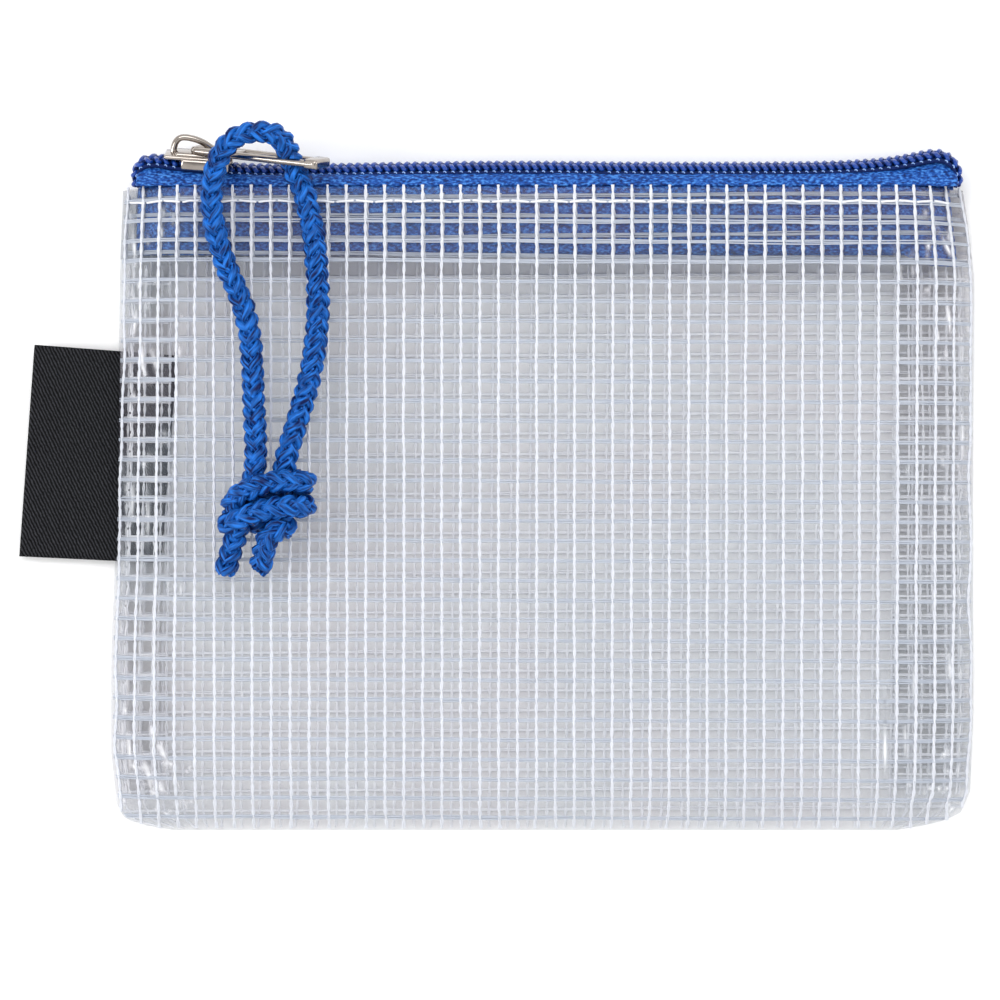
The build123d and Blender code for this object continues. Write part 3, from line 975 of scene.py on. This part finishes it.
filler_and_shadow_thick, bar_thick = 0.0003, 0.00011
for coil_name, filler_and_shadow_name, sewing_name, side, first, last, bend, coil_node, core_node in (
    ("front_coil_left", "front_filler_and_shadow_cord_left", "front_coil_stitches_left", -1, 0, halfway,
     left_bend, "front_end_coils", "front_end_cores"),
    ("front_coil_right", "front_filler_and_shadow_cord_right", "front_coil_stitches_right", -1, halfway, 1,
     right_bend, "front_coil", "front_coil_core"),
    ("back_coil_turns", "back_filler_and_shadow_cord", "back_coil_stitches", 1, 0, 1,
     None, "back_coil", "back_coil_core"),
):
    coil = new_piece(coil_name, tube_mesh("coil", [coil_line(side, first, last)], wire, 6), nylon)
    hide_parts(coil_node)
    # The filler cord's dark colour is painted shade, and its second line along the coil's foot is a painted
    # shadow
    filler_and_shadow_mesh = tube_mesh("filler_and_shadow_mesh", filler_and_shadow_lines(side, first, last), filler_and_shadow_thick, 6)
    core = new_piece(filler_and_shadow_name, filler_and_shadow_mesh, filler_and_shadow_yarn)
    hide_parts(core_node)
    bars = tube_mesh("bars", coil_stitches(side, first, last), bar_thick)
    sewing = new_piece(sewing_name, bars, blue_thread)
    for piece in (coil, core, sewing):
        if bend:
            bend_open(piece, bend)
        else:
            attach(piece, "pouch")

# --------------------------------------------
# Ribbon tab.
# A short length of black twill ribbon, folded in half, with both ends sewn
# inside the left side seam. It bends where it leaves the seam.

tab_low, tab_high = (Vector(corner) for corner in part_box("ribbon_tab"))
root_low, root_high = (Vector(corner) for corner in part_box("ribbon_root"))
ribbon_thick = 0.00028
ribbon_wide = tab_high.y - tab_low.y
fold_lean = 0.0023
ribbon_half_long = root_high.x - tab_low.x


def ribbon_place(across, along):
    """From the upper end in the seam out to the fold, and back underneath."""
    upper = along < 0.5
    share = 1 - abs(1 - 2 * along)
    fold_x = tab_low.x - 0.0006 + fold_lean * across
    root_x = root_high.x - 0.0024 * (1 - across)
    x = root_x + (fold_x - root_x) * share
    out = ease(x, root_low.x + 0.001, tab_high.x - 0.001)
    high = (tab_low.z + tab_high.z) / 2 + (root_low.z - tab_low.z) * out
    apart = 0.00017 * math.sqrt(max(1 - max((share - 0.985) / 0.015, 0) ** 2, 0))
    bow = 0.0004 * math.sin(across * math.pi) * (1 - out) * (share - 0.3)
    low = tab_low.y - 0.0002 + 0.0010 * share
    y = low + (tab_high.y - 0.0009 + 0.0016 * share - low) * across
    return Vector((x, y, high + (apart if upper else -apart) + bow))


# Polyester twill: black, matt, with fine slanting ribs that catch a grey light
twill, tree = new_tree("black_twill_ribbon")
place = add_node(tree, "UVMap", {}, uv_map="UVMap")
real = add_node(tree, "Mapping", {
    "Vector": place.outputs[0], "Scale": (ribbon_wide * 1000, ribbon_half_long * 2000, 1),
})
slanted = add_node(tree, "Mapping", {"Vector": real.outputs[0], "Rotation": (0, 0, 1.02)})
rib_gap = 0.5
ribs = add_node(
    tree, "TexWave", {"Vector": slanted.outputs[0], "Scale": 0.314 / rib_gap, "Distortion": 2.2,
                      "Detail": 2.0, "Detail Scale": 2.0},
)
specks = add_node(tree, "TexNoise", {"Vector": real.outputs[0], "Scale": 3.4, "Detail": 1.0})
lit = add_node(tree, "Math", {0: ribs.outputs["Fac"], 1: specks.outputs["Fac"]}, operation="MULTIPLY")
tint = add_node(tree, "ValToRGB", {"Fac": lit.outputs[0]}, [(0, "#020203"), (0.62, "#3b3c40")])
relief = add_node(tree, "Bump", {"Height": ribs.outputs["Fac"], "Strength": 0.7, "Distance": 0.0002})
close_tree(tree, add_node(tree, "BsdfPrincipled", {
    "Base Color": tint.outputs["Color"], "Normal": relief.outputs["Normal"], "Roughness": 0.8,
    "IOR": 1.5, "Specular IOR Level": 0.08,
}))
ribbon = thick_strip("folded_ribbon", 40, 140, ribbon_place, ribbon_thick, twill)
seam_line = (-half_wide, tab_low.y + ribbon_wide / 2, tab_high.z)
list(seam_line[1:])
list(seam_line[1:])
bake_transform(ribbon)
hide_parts("ribbon_tab", "ribbon_root")

# --------------------------------------------
# Sewing thread.
# White polyester thread: a topstitch along the front hem, its partner along
# the back one, and the stitches of both side seams.

stitch_gap = 0.0029
stitch_share = 0.86


def stitch_row(wall, at, low, high, lift, upright=False):
    """A row of stitches, each pulled down into the film at both ends."""
    row = []
    for n, start in enumerate(counted(low, stitch_gap, low, high - stitch_gap)):
        slip = 0.00022 * (1 if n % 2 else -1)
        bar = []
        for part in range(7):
            along = start + stitch_gap * stitch_share * part / 6
            beside = at + slip * (part / 6 - 0.5) + 0.0001 * drift(along * 800, at, 1)
            rise = lift + 0.00022 * math.sin(math.pi * part / 6) ** 0.6
            bar.append(wall(beside, along, rise) if upright else wall(along, beside, rise))
        row.append(bar)
    return row


# Twisted sewing thread: bright white and glossy, with its twist just showing
white_thread, tree = new_tree("white_sewing_thread")
place = add_node(tree, "UVMap", {}, uv_map="UVMap")
wound = add_node(tree, "Mapping", {"Vector": place.outputs[0], "Rotation": (0, 0, 0.5), "Scale": (6, 1, 1)})
ply = add_node(tree, "TexWave", {"Vector": wound.outputs[0], "Scale": 2.0})
tint = add_node(tree, "ValToRGB", {"Fac": ply.outputs["Fac"]}, [(0, "#d9dce4"), (1, "#ffffff")])
close_tree(tree, add_node(tree, "BsdfPrincipled", {
    "Base Color": tint.outputs["Color"], "Roughness": 0.3, "IOR": 1.5,
}))
hem_row = (mouth - 0.00225, -0.0630, 0.0636)
seam_row = (0.0015, bottom + 0.008, mouth - 0.012)
on_left, on_right = flap_wall(-1, left_flap_wide, 1), flap_wall(1, right_flap_wide, 1)
for name, rows, node in (
    ("hem_topstitch", stitch_row(on_front, *hem_row, 0.0001), "front_topstitch"),
    ("back_hem_stitch", stitch_row(on_back, *hem_row, 0.0011), "back_topstitch"),
    ("left_seam_stitch", stitch_row(on_left, *seam_row, 0.0001, True), "left_seam_thread"),
    ("right_seam_stitch", stitch_row(on_right, *seam_row, 0.0001, True), "right_seam_thread"),
):
    thread = new_piece(name, tube_mesh(name, rows, 0.00017, 6), white_thread)
    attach(thread, "pouch")
    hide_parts(node)

# --------------------------------------------
# Slider and pull tab.
# Die-cast zinc with a bright nickel plate. The pull swings on the bail cast
# into the slider's top, and the cord runs through its slot.

# Barrel-polished nickel: warm grey, mirror-like but a little soft from tumbling
nickel, tree = new_tree("tumbled_nickel_plate")
place = add_node(tree, "TexCoord", {})
worn = add_node(tree, "TexNoise", {"Vector": place.outputs["Object"], "Scale": 350.0, "Detail": 4.0})
tint = add_node(tree, "ValToRGB", {"Fac": worn.outputs["Fac"]}, [(0, "#8a8078"), (1, "#bfb8b2")])
satin = add_node(tree, "MapRange", {"Value": worn.outputs["Fac"], "To Min": 0.07, "To Max": 0.2})
relief = add_node(tree, "Bump", {"Height": worn.outputs["Fac"], "Strength": 0.15, "Distance": 0.0002})
close_tree(tree, add_node(tree, "BsdfPrincipled", {
    "Base Color": tint.outputs["Color"], "Normal": relief.outputs["Normal"],
    "Roughness": satin.outputs["Result"], "Metallic": 1.0,
}))
slider_low, slider_high = (Vector(corner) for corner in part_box("slider_body"))
slider_shift = -0.0007
slider_middle = (slider_low.x + slider_high.x) / 2 + slider_shift
slider_lean = math.radians(4.5)
pull_joint = next(joint for joint in frame["record"]["behaviour"]["joints"] if joint["name"] == "pull_flip")


def seated(across, outward, origin):
    """The place of a casting whose own x runs along, y across it and z outwards."""
    along = across.cross(outward)
    seat = Matrix((along, across, outward)).transposed().to_4x4()
    seat.translation = origin
    return seat


def cast_block(form, low, high, corner, seat):
    """A block from low to high with its edges rounded, set in its seat."""
    middle = (Vector(low) + Vector(high)) / 2
    size = Vector(high) - Vector(low)
    block = bmesh.ops.create_cube(form, size=1)["verts"]
    bmesh.ops.scale(form, vec=size, verts=block)
    bmesh.ops.translate(form, vec=middle, verts=block)
    edges = list(dict.fromkeys(edge for vertex in block for edge in vertex.link_edges))
    rounded = bmesh.ops.bevel(
        form, geom=edges, offset=corner, segments=3, profile=0.5, affect="EDGES", material=-1
    )
    verts = list(dict.fromkeys(vertex for face in rounded["faces"] for vertex in face.verts))
    bmesh.ops.transform(form, matrix=seat, verts=verts)


def cast_piece(name, form, bars, radius, seat):
    """Joins round bars to a casting's blocks and makes it a piece."""
    lines = [smooth_line("bar", points) for points in bars]
    rods = tube_mesh("bars", lines, radius, 12)
    rods.transform(seat)
    form.from_mesh(rods)
    mesh = bpy.data.meshes.new(name)
    form.to_mesh(mesh)
    form.free()
    return new_piece(name, mesh, nickel)


slider_seat = seated(zip_across, outwards, zip_centre + Vector((slider_middle, 0, 0)))
slider_seat = slider_seat @ Matrix.Rotation(slider_lean, 4, "Y")
form = bmesh.new()
# The top plate and the crown on it, the bottom plate, the two side flanges, and the post between the plates
for low, high, corner in (
    ((-0.0056, -0.0026, 0.00225), (0.0047, 0.0026, 0.00295), 0.0003),
    ((-0.0040, -0.0021, 0.00245), (0.0043, 0.0021, 0.00340), 0.00038),
    ((-0.0052, -0.0026, -0.00150), (0.0046, 0.0026, -0.00085), 0.0003),
    ((-0.0030, -0.0034, 0.0010), (0.0043, -0.00245, 0.00275), 0.00040),
    ((-0.0030, 0.00245, 0.0010), (0.0043, 0.0034, 0.00275), 0.00040),
    ((-0.0042, -0.0004, -0.0011), (-0.0022, 0.0004, 0.0025), 0.00015),
):
    cast_block(form, low, high, corner, slider_seat)
bail_arch = [
    (-0.0043, 0, 0.0026), (-0.0044, 0, 0.0040), (-0.0036, 0, 0.0054), (-0.0018, 0, 0.0054),
    (0.0000, 0, 0.0049), (0.0014, 0, 0.0040), (0.0030, 0, 0.0030), (0.0044, 0, 0.0028),
]
bail_thick, ring_thick = 0.0005, 0.00056
slider_casting = cast_piece("slider_casting", form, [bail_arch], bail_thick, slider_seat)
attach(slider_casting, "slider")
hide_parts("slider_body")

pull_across = -Vector(pull_joint["axis"])
# The pull lies aslant: its face leans this way from the zip's own, and it droops and rolls a little
pull_out = Vector((0.0645, 0.9567, 0.2840))
pull_droop, pull_roll = math.radians(-2), math.radians(-5)
pull_seat = seated(pull_across, pull_out, Vector(pull_joint["pos_m"]))
pull_seat = pull_seat @ Matrix.Rotation(pull_droop, 4, "Y") @ Matrix.Rotation(pull_roll, 4, "X")
form = bmesh.new()
# The end bar that the cord pulls on, and the bar next to the slider's bail
cast_block(form, (0.0184, -0.0026, -0.00075), (0.0207, 0.0026, 0.00075), 0.00045, pull_seat)
cast_block(form, (0.0052, -0.0023, -0.0005), (0.0072, 0.0023, 0.0005), 0.0003, pull_seat)
ring_side = [(0.0198, 0.0021), (0.0130, 0.0021), (0.0060, 0.0021), (0.0018, 0.0021), (0, 0.0018)]
pull_ring = [(x, -y, 0) for x, y in ring_side] + [(-0.0002, 0, 0)]
pull_ring += [(x, y, 0) for x, y in reversed(ring_side)]
pull_casting = cast_piece("pull_tab_casting", form, [pull_ring], ring_thick, pull_seat)
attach(pull_casting, "pull")
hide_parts("pull_tab")
